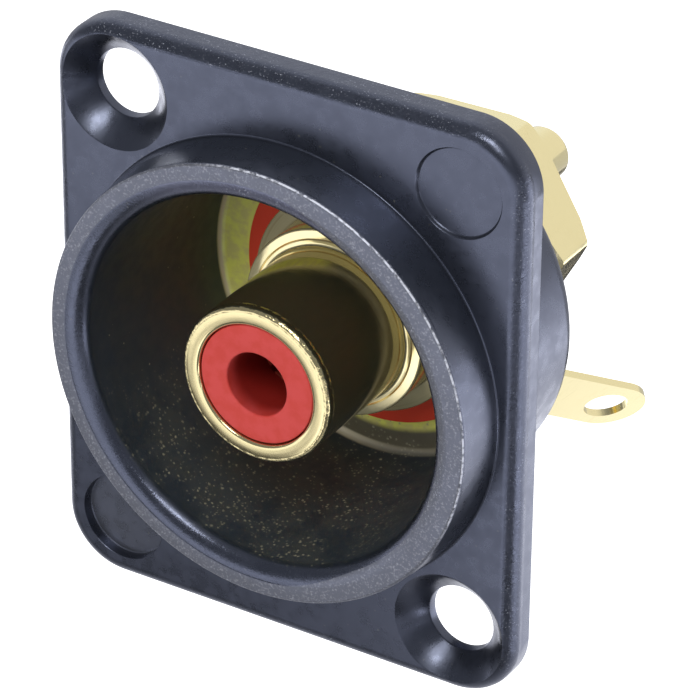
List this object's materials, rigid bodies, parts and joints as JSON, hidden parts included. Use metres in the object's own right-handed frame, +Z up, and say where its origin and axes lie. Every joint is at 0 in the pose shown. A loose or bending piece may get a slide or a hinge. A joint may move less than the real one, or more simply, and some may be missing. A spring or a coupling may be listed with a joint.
{
  "type": "panel-mount phono socket",
  "caption": "Panel-mount phono socket: a plated jack with a red insert stands in the round bowl of a black rectangular flange, with a nut, solder tag and solder pin behind.",
  "frame": {"origin": "on the jack's axis, in the plane of the flange's rear face, which lies on the panel", "axes": "+Y along the jack's axis from the front towards the solder side, +Z up along the flange's long side, +X to the right seen from the front"},
  "size_m": [0.026, 0.0285, 0.031],
  "materials": {
    "black_finish": "satin black with a fine grain",
    "gold_plating": "gold plated, bright, with fine turning marks",
    "red_plastic": "matte red",
    "white_plastic": "matte off-white"
  },
  "bodies": {
    "root": {"housing": "black_finish", "jack_body": "gold_plating", "front_insulator": "red_plastic", "front_washer": "red_plastic", "rear_bushing": "red_plastic", "solder_tag": "gold_plating", "hex_nut": "gold_plating", "rear_insulator": "white_plastic", "centre_contact": "gold_plating"}
  },
  "joints": []
}
